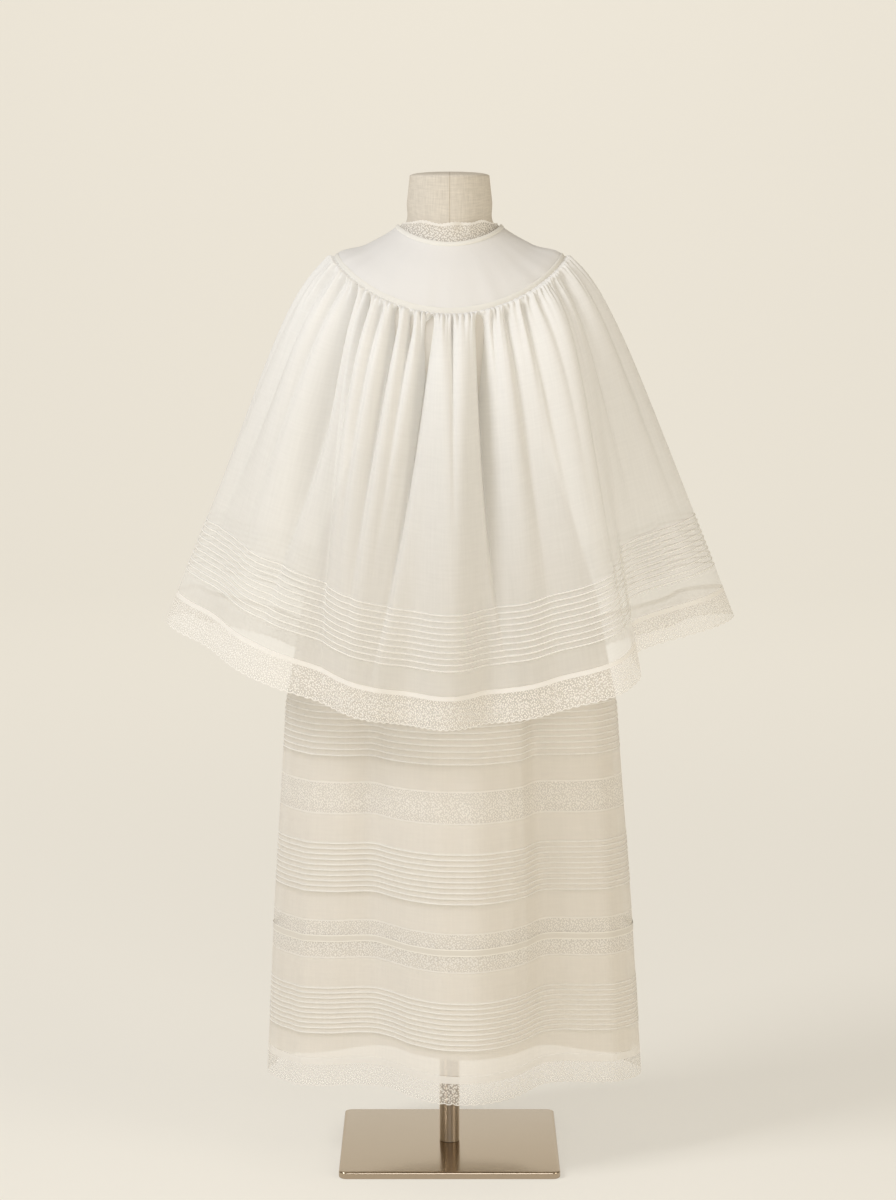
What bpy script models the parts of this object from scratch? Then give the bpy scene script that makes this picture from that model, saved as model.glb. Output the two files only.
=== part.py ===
# Christening gown of sheer organdy with its gathered shoulder cape, standing on
# a limbless dress form. The opening of the cape is at the front (+Y) and the
# centre back of the gown faces -Y. All sizes are in metres, with Z up from the
# underside of the base plate.
import math
from collections import namedtuple

import bmesh
import bpy
import numpy as np

OBJECT_NAME = "christening_gown"

# Stand
PLATE_SIZE = 0.216
PLATE_THICKNESS = 0.007
PLATE_CORNER_RADIUS = 0.008
PLATE_EDGE_RADIUS = 0.0015
POLE_RADIUS = 0.010
POLE_TOP = 0.600
POLE_SIDES = 24
SOCKET_CLEARANCE = 0.0003
SOCKET_FACETS = 0.0002

# Cloth
SEAM_GAP = 0.0003
CLOTH = 0.0010
LACE = 0.0012
RIBBON = 0.0010
NORMAL_STEP = 0.0005

# Sections of the form from the top of the neck to its underside. The side and
# the two ends of a section have their own heights, and lift is how far a layer
# rises for each unit that it is moved out.
Ring = namedtuple("Ring", "half_width half_depth back side front lift")
FORM_RINGS = (
    Ring(0.0385, 0.0385, 0.9680, 0.9680, 0.9680, 0.0),
    Ring(0.0412, 0.0410, 0.9400, 0.9430, 0.9380, 0.0),
    Ring(0.0440, 0.0475, 0.9050, 0.9200, 0.8970, 0.4),
    Ring(0.0755, 0.0650, 0.8720, 0.8975, 0.8660, 1.0),
    Ring(0.1065, 0.0790, 0.8350, 0.8865, 0.8350, 0.7),
    Ring(0.1060, 0.0830, 0.8000, 0.8440, 0.8000, 0.0),
    Ring(0.1000, 0.0810, 0.7600, 0.7600, 0.7600, 0.0),
    Ring(0.0900, 0.0730, 0.6900, 0.6900, 0.6900, 0.0),
    Ring(0.0980, 0.0790, 0.6100, 0.6100, 0.6100, 0.0),
    Ring(0.0900, 0.0720, 0.5600, 0.5600, 0.5600, 0.0),
)
SADDLE = 1.6
FORM_COLUMNS = 32
FORM_LEVELS = (0.0, 1.0, 1.7, 2.3, 3.0, 3.5, 4.0, 4.5, 5.0, 5.5, 6.0, 7.0, 8.0, 9.0)
LEVEL_STEP = 0.02

# Domed top of the neck and rounded underside of the form: shares of the last
# section and heights above or below it
NECK_DOME = ((0.55, 0.0032), (0.85, 0.0020), (0.96, 0.0009))
UNDER_CURVE = ((0.93, 0.0050), (0.80, 0.0070))

# Layers on the form, as distances from it to the middle of each wall
BODICE_OUT = 0.0029
YOKE_OUT = 0.0045
COLLAR_OUT = 0.0023

# Bodice
BODICE_LEVELS = (2.24, 3.0, 3.5, 4.0, 4.5, 5.0, 5.5, 6.0, 6.862)
BODICE_COLUMNS = 16
ARMHOLE_LEVEL = 4.95
ARMHOLE_HALF_HEIGHT = 1.1
ARMHOLE_HALF_WIDTH = math.radians(27)

# Standing lace of the neck, whose top edge lies lower on the form at the sides
COLLAR_FOOT = 2.21
COLLAR_TOP = 1.50
COLLAR_SIDE_DROP = 0.45
COLLAR_ROWS = (0.0, 0.35, 1.0)
COLLAR_STAND_OFF = 0.0022
COLLAR_WAVES = 11
COLLAR_COLUMNS = 38

# Yoke of the cape, its neck binding and the binding of its gathered seam
YOKE_TOP = 2.18
YOKE_EDGE = 4.0
YOKE_LEVELS = (2.18, 3.0, 3.5, 3.83)
YOKE_COLUMNS = 38
BINDING_TOP = 2.04
BINDING_THICKNESS = 0.0016
PIPING_TOP = 3.84
PIPING_THICKNESS = 0.0014
STRIP_EDGE = 0.02
LEVEL_LENGTH = 0.037

# Cape
CAPE_LENGTH = 0.394
CAPE_LACE_START = 0.3625
CAPE_SIDE_LEAN = (math.radians(74.0), math.radians(21.5))
CAPE_END_LEAN = (math.radians(38.0), math.radians(8.6))
CAPE_SETTLE = 0.037
CAPE_TURN = (math.radians(24.0), math.radians(49.0))
CAPE_TURN_SETTLE = 0.003
CAPE_EDGE_OUT = 0.0045
CAPE_OPENING_START = 0.0004
CAPE_OPENING_SPREAD = 0.012
CAPE_OPENING_RADIUS = 0.12
CAPE_TUCK_START = 0.2870
GATHERS = 76
GATHER_HEIGHT = 0.0024
GATHER_RISE = 0.009
GATHER_FADE = 0.034
GATHER_ROWS = (0.0035, 0.011, 0.024)
CAPE_ROWS = (0.042, 0.062, 0.095, 0.135, 0.180, 0.230)
CAPE_INNER_ROWS = (0.0, 0.011, 0.030, 0.062, 0.135, 0.250, 0.3622)
CAPE_COLUMNS = 56

# Tucks: raised in the outer face of the wall
TUCKS = 10
TUCK_HEIGHT = 0.0012
TUCK_STEP = 0.0005
TUCK_LEAD = 0.0045
CAPE_TUCK_PITCH = 0.0058

# Skirt, from the seam under the bodice to the hem
SKIRT_TOP = 0.6997
SKIRT_HEM = 0.0830
SKIRT_COLUMNS = 32
SKIRT_SHIFT = 0.003
Section = namedtuple("Section", "height half_width half_depth")
SKIRT_SECTIONS = (
    Section(0.700, 0.0945, 0.0775),
    Section(0.640, 0.1200, 0.0950),
    Section(0.560, 0.1450, 0.1080),
    Section(0.454, 0.1650, 0.1180),
    Section(0.254, 0.1800, 0.1235),
    Section(0.078, 0.1905, 0.1270),
)
UPPER_TUCKS_START = 0.4665
UPPER_TUCK_PITCH = 0.0060
INSERTION_1 = (0.3870, 0.3545)
MIDDLE_TUCKS_START = 0.3255
MIDDLE_TUCK_PITCH = 0.0053
INSERTION_2 = (0.2500, 0.2110)
RIBBON_BAND = (0.2345, 0.2275)
LOWER_TUCKS_START = 0.1810
LOWER_TUCK_PITCH = 0.0050
HEM_LACE_TOP = 0.1110

# Slip under the skirt
SLIP_TOP = 0.6997
SLIP_HEM = 0.1250
SLIP_ROWS = (0.6997, 0.640, 0.560, 0.454, 0.254, 0.1250)
SLIP_INSET = 0.0070
SLIP_INSET_TOP = 0.0013
SLIP_INSET_DROP = 0.12

# Folds: where each starts and ends round the cloth in degrees from the centre
# back (positive to the right of the back view), how wide it is to either side,
# and its depth at the top, middle and bottom of the cloth
Fold = namedtuple("Fold", "start end left right top middle bottom")
CAPE_FOLDS = (
    Fold(-78, -68, 8, 9, 0.0, 0.006, 0.013),
    Fold(-58, -37, 8, 8, 0.0, 0.012, 0.010),
    Fold(-33, -25, 10, 9, 0.0, -0.007, -0.008),
    Fold(-9, -14, 6, 7, 0.0, 0.010, 0.009),
    Fold(2, -1, 6, 6, 0.0, -0.006, -0.006),
    Fold(13.5, 12, 6, 7, 0.0, 0.022, 0.018),
    Fold(29, 33, 5, 6, 0.0, 0.008, 0.004),
    Fold(44, 42, 8, 7, 0.0, -0.008, -0.010),
    Fold(66, 63, 8, 14, 0.0, 0.018, 0.056),
    Fold(101, 106, 8, 9, 0.0, 0.010, 0.022),
    Fold(125, 129, 9, 9, 0.0, 0.013, 0.020),
    Fold(148, 151, 7, 8, 0.0, 0.011, 0.016),
    Fold(167, 168, 6, 6, 0.0, 0.007, 0.009),
    Fold(-99, -98, 8, 9, 0.0, 0.011, 0.020),
    Fold(-121, -124, 9, 8, 0.0, 0.013, 0.023),
    Fold(-145, -149, 8, 8, 0.0, 0.012, 0.017),
    Fold(-167, -169, 6, 6, 0.0, 0.006, 0.010),
)
SKIRT_FOLDS = (
    Fold(-33, -27, 15, 14, 0.0, 0.014, 0.028),
    Fold(2, 4, 14, 13, 0.0, -0.004, -0.006),
    Fold(37, 35, 13, 15, 0.0, 0.016, 0.028),
    Fold(68, 70, 12, 12, 0.0, -0.003, -0.004),
    Fold(98, 102, 13, 14, 0.0, 0.008, 0.014),
    Fold(146, 142, 14, 13, 0.0, 0.013, 0.024),
    Fold(-178, -179, 15, 15, 0.0, -0.004, -0.006),
    Fold(-140, -137, 14, 15, 0.0, 0.014, 0.026),
    Fold(-96, -94, 13, 12, 0.0, 0.007, 0.012),
)
SKIRT_FOLD_LIFT = 0.25
SKIRT_FLATTEN = 0.35


def between(values, level):
    """Value of a smooth curve through the given values at a level."""
    last = len(values) - 1
    index = int(min(max(math.floor(level), 0), last - 1))
    t = level - index
    p0 = values[max(index - 1, 0)]
    p1 = values[index]
    p2 = values[index + 1]
    p3 = values[min(index + 2, last)]
    bend = 2 * p0 - 5 * p1 + 4 * p2 - p3
    return p1 + 0.5 * t * ((p2 - p0) + t * (bend + t * (3 * (p1 - p2) + p3 - p0)))


def on_form(phi, level, out=0.0):
    """Points round the form at one level, moved out from it."""
    ring = Ring(*(between(values, level) for values in zip(*FORM_RINGS)))
    end = np.where(np.cos(phi) > 0, ring.back, ring.front)
    height = ring.side + (end - ring.side) * np.abs(np.cos(phi)) ** SADDLE
    x = (ring.half_width + out) * np.sin(phi)
    y = -(ring.half_depth + out) * np.cos(phi)
    return np.stack([x, y, height + ring.lift * out], axis=-1)


def fold_depth(folds, phi, share):
    """Depth of all folds round one row at a share of the cloth's length."""
    degrees = np.degrees(phi)
    total = np.zeros_like(degrees)
    for fold in folds:
        centre = fold.start + (fold.end - fold.start) * share
        away = (degrees - centre + 180.0) % 360.0 - 180.0
        width = np.where(away < 0, fold.left, fold.right)
        depth = (1 - share) ** 2 * fold.top
        depth += 2 * share * (1 - share) * fold.middle + share ** 2 * fold.bottom
        total += depth * np.exp(-(away / width) ** 2)
    return total


def on_cape(phi, length):
    """Points round the cape at a length down the cloth from its yoke."""
    side = np.sin(phi) ** 2
    start = CAPE_END_LEAN[0] + (CAPE_SIDE_LEAN[0] - CAPE_END_LEAN[0]) * side
    finish = CAPE_END_LEAN[1] + (CAPE_SIDE_LEAN[1] - CAPE_END_LEAN[1]) * side ** 1.5
    turn = CAPE_TURN[0] + (CAPE_TURN[1] - CAPE_TURN[0]) * side
    steps = np.linspace(0.0, length, 161)[:, None]
    lean = finish + (start - finish) * np.exp(-np.abs(steps) / CAPE_SETTLE)
    lean = lean - turn * np.exp(-np.abs(steps) / CAPE_TURN_SETTLE)
    pace = length / 160
    out = (np.sin(lean).sum(axis=0) - 0.5 * (np.sin(lean[0]) + np.sin(lean[-1]))) * pace
    down = (np.cos(lean).sum(axis=0) - 0.5 * (np.cos(lean[0]) + np.cos(lean[-1]))) * pace
    radial = out - fold_depth(CAPE_FOLDS, phi, max(length, 0.0) / CAPE_LENGTH)
    points = on_form(phi, YOKE_EDGE, CAPE_EDGE_OUT)
    points[:, 0] += radial * np.sin(phi)
    points[:, 1] -= radial * np.cos(phi)
    points[:, 2] -= down
    return points


def on_skirt(phi, height, inset=0.0):
    """Points round the skirt at one height, moved in from it."""
    share = (SKIRT_TOP - height) / (SKIRT_TOP - SKIRT_HEM)
    heights = [section.height for section in reversed(SKIRT_SECTIONS)]
    half_width = np.interp(height, heights, [s.half_width for s in reversed(SKIRT_SECTIONS)])
    half_depth = np.interp(height, heights, [s.half_depth for s in reversed(SKIRT_SECTIONS)])
    depth = fold_depth(SKIRT_FOLDS, phi, min(max(share, 0.0), 1.0))
    x = (half_width - depth - inset) * np.sin(phi) + SKIRT_SHIFT * share
    across = np.sign(np.cos(phi)) * np.abs(np.cos(phi)) ** (1 + SKIRT_FLATTEN * share)
    y = -(half_depth - depth - inset) * across
    z = height + SKIRT_FOLD_LIFT * depth * share
    return np.stack([x, y, z], axis=-1)


def on_slip(phi, height):
    """Points round the slip at one height."""
    fall = min((SLIP_TOP - height) / SLIP_INSET_DROP, 1.0)
    inset = SLIP_INSET_TOP + (SLIP_INSET - SLIP_INSET_TOP) * fall
    return on_skirt(phi, height, inset)


def round_angles(count):
    """Angles all round, without the repeated last one."""
    return np.linspace(-math.pi, math.pi, count, endpoint=False)


def face_out(surface, phi, row, step):
    """Outward unit normals of a surface at the angles of one row."""
    turn = 0.004
    around = surface(phi + turn, row) - surface(phi - turn, row)
    along = surface(phi, row + step) - surface(phi, row - step)
    normal = np.cross(around, along)
    normal /= np.linalg.norm(normal, axis=1)[:, None]
    middle = surface(phi, row)
    away = np.stack([np.sin(phi), -np.cos(phi), np.zeros_like(phi)], axis=-1)
    side = np.sign((normal * away).sum(axis=1)[:, None])
    return middle, normal * side


def moved(surface, phi, row, step, distance):
    """One row of points moved out from a surface by a distance."""
    middle, normal = face_out(surface, phi, row, step)
    return middle + normal * np.reshape(distance, (-1, 1))


def zip_rows(faces, upper, lower, closed):
    """Triangles between two rows of indices, which may differ in count."""
    upper = [*upper, *(upper[:1] if closed else ())]
    lower = [*lower, *(lower[:1] if closed else ())]
    i = 0
    j = 0
    while i < len(upper) - 1 or j < len(lower) - 1:
        next_i = (i + 1) / (len(upper) - 1)
        next_j = (j + 1) / (len(lower) - 1)
        if j == len(lower) - 1 or (i < len(upper) - 1 and next_i <= next_j):
            faces.append((upper[i], upper[i + 1], lower[j]))
            i += 1
        else:
            faces.append((upper[i], lower[j + 1], lower[j]))
            j += 1


def material(name, colour, roughness, metallic=0.0):
    """A plain material of its own for each piece."""
    made = bpy.data.materials.new(name)
    made.use_nodes = True
    shader = made.node_tree.nodes["Principled BSDF"]
    shader.inputs["Base Color"].default_value = (*colour, 1.0)
    shader.inputs["Roughness"].default_value = roughness
    shader.inputs["Metallic"].default_value = metallic
    made.diffuse_color = (*colour, 1.0)
    return made


def add_piece(name, points, faces, finish):
    """A named mesh object facing out, with its own material."""
    mesh = bpy.data.meshes.new(name)
    mesh.from_pydata([tuple(point) for point in points], [], faces)
    shaped = bmesh.new()
    shaped.from_mesh(mesh)
    bmesh.ops.recalc_face_normals(shaped, faces=shaped.faces)
    shaped.to_mesh(mesh)
    shaped.free()
    mesh.materials.append(material(name + "_material", *finish))
    piece = bpy.data.objects.new(name, mesh)
    collection.objects.link(piece)
    return piece


def wall(name, outer, inner, closed, finish):
    """A wall of cloth between its outer and its inner rows of points."""
    points = []
    faces = []
    numbered = []
    for rows in (outer, inner):
        numbered.append([])
        for row in rows:
            first = len(points)
            points.extend(row)
            numbered[-1].append(list(range(first, len(points))))
    for rows in numbered:
        for upper, lower in zip(rows, rows[1:]):
            zip_rows(faces, upper, lower, closed)
    outside, inside = numbered
    zip_rows(faces, outside[0], inside[0], closed)
    zip_rows(faces, outside[-1], inside[-1], closed)
    if not closed:
        for end in (0, -1):
            zip_rows(faces, [row[end] for row in outside], [row[end] for row in inside], False)
    return add_piece(name, points, faces, finish)


def plain_wall(name, surface, angles, rows, step, thickness, finish, closed=True):
    """A wall of even thickness on a surface."""
    outer = [moved(surface, angles(row), row, step, thickness / 2) for row in rows]
    inner = [moved(surface, angles(row), row, step, -thickness / 2) for row in rows]
    return wall(name, outer, inner, closed, finish)


def capped(name, rings, finish):
    """A solid through closed rings of points with a flat face at both ends."""
    points = [point for ring in rings for point in ring]
    count = len(rings[0])
    faces = []
    for row in range(len(rings) - 1):
        upper = range(row * count, (row + 1) * count)
        lower = range((row + 1) * count, (row + 2) * count)
        zip_rows(faces, upper, lower, True)
    faces.append(tuple(range(count)))
    faces.append(tuple(range(len(points) - count, len(points))))
    return add_piece(name, points, faces, finish)


def rounded_square(size, radius, height, steps=4):
    """Points round a square with rounded corners."""
    points = []
    reach = size / 2 - radius
    for corner in range(4):
        for k in range(steps + 1):
            angle = math.pi / 2 * (corner + k / steps)
            turn = math.pi / 2 * corner + math.pi / 4
            x = math.copysign(reach, math.cos(turn)) + radius * math.cos(angle)
            y = math.copysign(reach, math.sin(turn)) + radius * math.sin(angle)
            points.append((x, y, height))
    return points


def circle(radius, height, sides):
    """Points round a level circle."""
    turns = [2 * math.pi * k / sides for k in range(sides)]
    return [(radius * math.cos(turn), radius * math.sin(turn), height) for turn in turns]


def tuck_rows(start, pitch, direction):
    """Rows and outward reliefs of a group of tucks from its first edge."""
    rows = []
    for k in range(TUCKS):
        edge = start + direction * pitch * k
        rows.append((edge - direction * TUCK_STEP / 2, TUCK_HEIGHT))
        rows.append((edge + direction * TUCK_STEP / 2, 0.0))
    return rows


def cape_angles(count):
    """Angles of a cape row: all round but for the opening at the front."""
    def angles(length):
        opening = CAPE_OPENING_START + CAPE_OPENING_SPREAD * max(length, 0.0)
        limit = math.pi - opening / CAPE_OPENING_RADIUS
        return np.linspace(-limit, limit, count)
    return angles


def yoke_angles(count):
    """Angles of a yoke row, which meets itself at the front."""
    def angles(level):
        half_width = between([ring.half_width for ring in FORM_RINGS], level)
        limit = math.pi - CAPE_OPENING_START / half_width
        return np.linspace(-limit, limit, count)
    return angles


def yoke_surface(phi, level):
    return on_form(phi, level, YOKE_OUT)


def bodice_surface(phi, level):
    return on_form(phi, level, BODICE_OUT)


def collar_surface(phi, share):
    """The neck lace stands off the neck more and more towards its wavy top, but
    stays close at the sides, where it is lowest."""
    side = np.sin(phi) ** 6
    levels = COLLAR_FOOT + (COLLAR_TOP + COLLAR_SIDE_DROP * side - COLLAR_FOOT) * share
    places = zip(phi, levels)
    points = np.concatenate([on_form(np.array([a]), level, COLLAR_OUT) for a, level in places])
    wave = 1.0 + 0.45 * np.cos(COLLAR_WAVES * phi)
    reach = COLLAR_STAND_OFF * min(max(share, 0.0), 1.2) ** 2 * wave * (1.0 - 0.8 * side)
    points[:, 0] += reach * np.sin(phi)
    points[:, 1] -= reach * np.cos(phi)
    return points


def build_stand():
    steel = ((0.44, 0.41, 0.36), 0.35, 0.9)
    inner = PLATE_SIZE - 2 * PLATE_EDGE_RADIUS
    corner = PLATE_CORNER_RADIUS - PLATE_EDGE_RADIUS
    high = PLATE_THICKNESS - PLATE_EDGE_RADIUS
    slope = PLATE_EDGE_RADIUS * (1 - math.sqrt(0.5))
    rings = [
        rounded_square(inner, corner, 0.0),
        rounded_square(PLATE_SIZE - 2 * slope, PLATE_CORNER_RADIUS - slope, slope),
        rounded_square(PLATE_SIZE, PLATE_CORNER_RADIUS, PLATE_EDGE_RADIUS),
        rounded_square(PLATE_SIZE, PLATE_CORNER_RADIUS, high),
        rounded_square(PLATE_SIZE - 2 * slope, PLATE_CORNER_RADIUS - slope, PLATE_THICKNESS - slope),
        rounded_square(inner, corner, PLATE_THICKNESS),
    ]
    capped("base_plate", rings, steel)
    foot = PLATE_THICKNESS + SEAM_GAP
    pole = [circle(POLE_RADIUS, foot, POLE_SIDES), circle(POLE_RADIUS, POLE_TOP, POLE_SIDES)]
    capped("pole", pole, steel)


def build_form():
    """Neck and body of the form, with a socket for the pole in its underside."""
    phi = round_angles(FORM_COLUMNS)
    neck = FORM_RINGS[0]
    rings = []
    for share, rise in NECK_DOME:
        ring = on_form(phi, 0.0)
        ring[:, :2] *= share
        ring[:, 2] = neck.side + rise
        rings.append(ring)
    rings.extend(on_form(phi, level) for level in FORM_LEVELS)
    under = on_form(phi, FORM_LEVELS[-1])
    for share, drop in UNDER_CURVE:
        ring = under.copy()
        ring[:, :2] *= share
        ring[:, 2] -= drop
        rings.append(ring)
    hole = POLE_RADIUS + SOCKET_CLEARANCE + SOCKET_FACETS
    mouth = rings[-1][0, 2]
    for height in (mouth, POLE_TOP + SOCKET_CLEARANCE):
        x = hole * np.sin(phi)
        y = -hole * np.cos(phi)
        rings.append(np.stack([x, y, np.full_like(x, height)], axis=-1))
    capped("dress_form", rings, ((0.66, 0.60, 0.52), 0.9))


def armhole_bite(level):
    """How far the armhole takes the side edge of the bodice in, as an angle."""
    share = (level - ARMHOLE_LEVEL) / ARMHOLE_HALF_HEIGHT
    return ARMHOLE_HALF_WIDTH * math.sqrt(max(1.0 - share * share, 0.0))


def build_bodice():
    """Back and front of the bodice, joined at the shoulders and the sides."""
    lawn = ((0.80, 0.76, 0.69), 0.85)

    def half(turn):
        def angles(level):
            half_depth = between([ring.half_depth for ring in FORM_RINGS], level)
            reach = math.pi / 2 - armhole_bite(level) - 0.6 * SEAM_GAP / half_depth
            return turn + np.linspace(-reach, reach, BODICE_COLUMNS + 1)
        return angles

    for name, turn in (("bodice_back", 0.0), ("bodice_front", math.pi)):
        angles = half(turn)
        plain_wall(name, bodice_surface, angles, BODICE_LEVELS, LEVEL_STEP, CLOTH, lawn, False)


def build_collar():
    lace = ((0.78, 0.74, 0.67), 0.85)
    phi = round_angles(COLLAR_COLUMNS)
    plain_wall("neck_lace", collar_surface, lambda row: phi, COLLAR_ROWS, LEVEL_STEP, CLOTH, lace)


def build_yoke():
    organdy = ((0.84, 0.81, 0.75), 0.8)
    across = yoke_angles(YOKE_COLUMNS + 1)
    plain_wall("cape_yoke", yoke_surface, across, YOKE_LEVELS, LEVEL_STEP, CLOTH, organdy, False)

    def strip(name, top, bottom, thickness):
        profile = (
            (top, 0.4),
            (top + STRIP_EDGE, 1.0),
            (bottom - STRIP_EDGE, 1.0),
            (bottom, 0.1),
        )
        outer = []
        for level, share in profile:
            reach = CLOTH / 2 + (thickness - CLOTH) * share
            outer.append(moved(yoke_surface, across(level), level, LEVEL_STEP, reach))
        inner = []
        for level in (top, bottom):
            inner.append(moved(yoke_surface, across(level), level, LEVEL_STEP, -CLOTH / 2))
        wall(name, outer, inner, False, organdy)

    gap = SEAM_GAP / LEVEL_LENGTH
    strip("neck_binding", BINDING_TOP, YOKE_TOP - gap, BINDING_THICKNESS)
    strip("yoke_piping", PIPING_TOP, YOKE_EDGE - gap, PIPING_THICKNESS)


def gather_relief(count, length):
    """Height of the gathers along one row, each a little unlike the next."""
    number = np.arange(count)
    crest = number % 2
    uneven = 0.75 + 0.25 * np.sin(number * 1.7) * np.cos(number * 0.61 + 1.0)
    rise = min(length / GATHER_RISE, 1.0)
    return GATHER_HEIGHT * crest * uneven * rise * math.exp(-length / GATHER_FADE)


def build_cape():
    organdy = ((0.80, 0.76, 0.68), 0.8)
    lace = ((0.78, 0.73, 0.66), 0.85)
    step = NORMAL_STEP
    half = CLOTH / 2
    gathered = cape_angles(2 * GATHERS + 1)
    plain = cape_angles(CAPE_COLUMNS + 1)
    seam = cape_angles(YOKE_COLUMNS + 1)
    outer = [moved(on_cape, seam(0.0), 0.0, step, half)]
    for row in GATHER_ROWS:
        phi = gathered(row)
        outer.append(moved(on_cape, phi, row, step, half + gather_relief(len(phi), row)))
    rows = [(row, 0.0) for row in CAPE_ROWS]
    rows += [(CAPE_TUCK_START - CAPE_TUCK_PITCH, 0.0)]
    rows += tuck_rows(CAPE_TUCK_START, CAPE_TUCK_PITCH, 1)
    rows += [(CAPE_LACE_START - SEAM_GAP, 0.0)]
    for row, relief in rows:
        outer.append(moved(on_cape, plain(row), row, step, half + relief))
    inner = []
    for row in CAPE_INNER_ROWS:
        phi = seam(row) if row == 0.0 else plain(row)
        inner.append(moved(on_cape, phi, row, step, -half))
    wall("cape", outer, inner, False, organdy)
    rows = (CAPE_LACE_START, CAPE_LENGTH)
    plain_wall("cape_lace", on_cape, plain, rows, step, LACE, lace, False)


def skirt_piece(name, top, bottom, plain_rows, tucks, finish):
    """A strip of the skirt with tucks raised in its outer face."""
    phi = round_angles(SKIRT_COLUMNS)
    step = NORMAL_STEP
    half = CLOTH / 2
    rows = [(top, 0.0)]
    rows += [(row, 0.0) for row in plain_rows if row > tucks[0][0]]
    rows += [(tucks[0][0] + TUCK_LEAD, 0.0)] + list(tucks)
    rows += [(row, 0.0) for row in plain_rows if row < tucks[-1][0]]
    rows += [(bottom, 0.0)]
    outer = [moved(on_skirt, phi, row, step, half + relief) for row, relief in rows]
    middle = (tucks[0][0] + tucks[-1][0]) / 2
    inner_rows = sorted({top, bottom, middle, *plain_rows}, reverse=True)
    inner = [moved(on_skirt, phi, row, step, -half) for row in inner_rows]
    wall(name, outer, inner, True, finish)


def build_skirt():
    organdy = ((0.76, 0.71, 0.63), 0.8)
    lace = ((0.75, 0.70, 0.62), 0.85)
    satin = ((0.80, 0.76, 0.70), 0.5)
    gap = SEAM_GAP / 2
    first, first_end = INSERTION_1
    second, second_end = INSERTION_2
    upper = tuck_rows(UPPER_TUCKS_START, UPPER_TUCK_PITCH, -1)
    middle = tuck_rows(MIDDLE_TUCKS_START, MIDDLE_TUCK_PITCH, -1)
    lower = tuck_rows(LOWER_TUCKS_START, LOWER_TUCK_PITCH, -1)
    gathers = (0.670, 0.640, 0.600, 0.560, 0.510)
    skirt_piece("skirt_upper", SKIRT_TOP, first + gap, gathers, upper, organdy)
    skirt_piece("skirt_middle", first_end - gap, second + gap, (), middle, organdy)
    skirt_piece("skirt_lower", second_end - gap, HEM_LACE_TOP + gap, (), lower, organdy)
    phi = round_angles(SKIRT_COLUMNS)

    def band(name, surface, rows, thickness, finish):
        plain_wall(name, surface, lambda row: phi, rows, NORMAL_STEP, thickness, finish)

    band("insertion_upper", on_skirt, (first - gap, first_end + gap), LACE, lace)
    band("insertion_lower", on_skirt, (second - gap, second_end + gap), LACE, lace)
    band("hem_lace", on_skirt, (HEM_LACE_TOP - gap, SKIRT_HEM), LACE, lace)
    band("slip", on_slip, SLIP_ROWS, CLOTH, ((0.74, 0.69, 0.61), 0.8))

    def over_lace(angle, row):
        lift = LACE / 2 + SEAM_GAP + RIBBON / 2
        return moved(on_skirt, angle, row, NORMAL_STEP, lift)

    band("ribbon", over_lace, RIBBON_BAND, RIBBON, satin)


for old in list(bpy.data.objects):
    bpy.data.objects.remove(old, do_unlink=True)
collection = bpy.data.collections.new(OBJECT_NAME)
bpy.context.scene.collection.children.link(collection)

build_stand()
build_form()
build_bodice()
build_collar()
build_yoke()
build_cape()
build_skirt()
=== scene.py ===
import math
from collections import namedtuple

import bmesh
import bpy
import numpy as np
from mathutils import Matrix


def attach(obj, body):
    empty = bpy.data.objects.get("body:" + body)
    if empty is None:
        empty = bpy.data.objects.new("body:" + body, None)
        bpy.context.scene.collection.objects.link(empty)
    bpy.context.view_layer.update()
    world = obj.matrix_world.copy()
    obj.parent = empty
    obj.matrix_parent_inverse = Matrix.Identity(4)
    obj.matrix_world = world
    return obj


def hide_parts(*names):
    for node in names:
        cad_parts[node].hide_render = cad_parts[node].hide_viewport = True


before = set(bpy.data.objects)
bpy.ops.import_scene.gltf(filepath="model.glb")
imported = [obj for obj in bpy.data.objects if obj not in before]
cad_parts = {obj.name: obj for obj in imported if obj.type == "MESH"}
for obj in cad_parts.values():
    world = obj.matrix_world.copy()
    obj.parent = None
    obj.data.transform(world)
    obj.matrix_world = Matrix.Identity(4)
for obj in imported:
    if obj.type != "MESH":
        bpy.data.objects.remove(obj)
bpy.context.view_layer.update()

# Sections of the form from the top of the neck to its underside. lift says how far a point
# rises for each metre that it moves out.
Ring = namedtuple("Ring", "half_width half_depth back side front lift")
FORM_RINGS = (
    Ring(0.0385, 0.0385, 0.9680, 0.9680, 0.9680, 0.0),
    Ring(0.0412, 0.0410, 0.9400, 0.9430, 0.9380, 0.0),
    Ring(0.0440, 0.0475, 0.9050, 0.9200, 0.8970, 0.4),
    Ring(0.0755, 0.0650, 0.8720, 0.8975, 0.8660, 1.0),
    Ring(0.1065, 0.0790, 0.8350, 0.8865, 0.8350, 0.7),
    Ring(0.1060, 0.0830, 0.8000, 0.8440, 0.8000, 0.0),
    Ring(0.1000, 0.0810, 0.7600, 0.7600, 0.7600, 0.0),
    Ring(0.0900, 0.0730, 0.6900, 0.6900, 0.6900, 0.0),
    Ring(0.0980, 0.0790, 0.6100, 0.6100, 0.6100, 0.0),
    Ring(0.0900, 0.0720, 0.5600, 0.5600, 0.5600, 0.0),
)
SADDLE = 1.6
FORM_COLUMNS = 128
FORM_ROWS = 91
FORM_GIRTH_RADIUS = 0.05
# Rings of the cap and of the underside: share of the width, and rise or drop
CAP_RINGS = ((0.02, 0.0036), (0.30, 0.0035), (0.60, 0.0030), (0.82, 0.0021), (0.94, 0.0011))
UNDERSIDE_RINGS = ((0.97, 0.003), (0.90, 0.006), (0.80, 0.007), (0.50, 0.007), (0.115, 0.007))
SEAM_WIDTH = 0.0011

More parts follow.
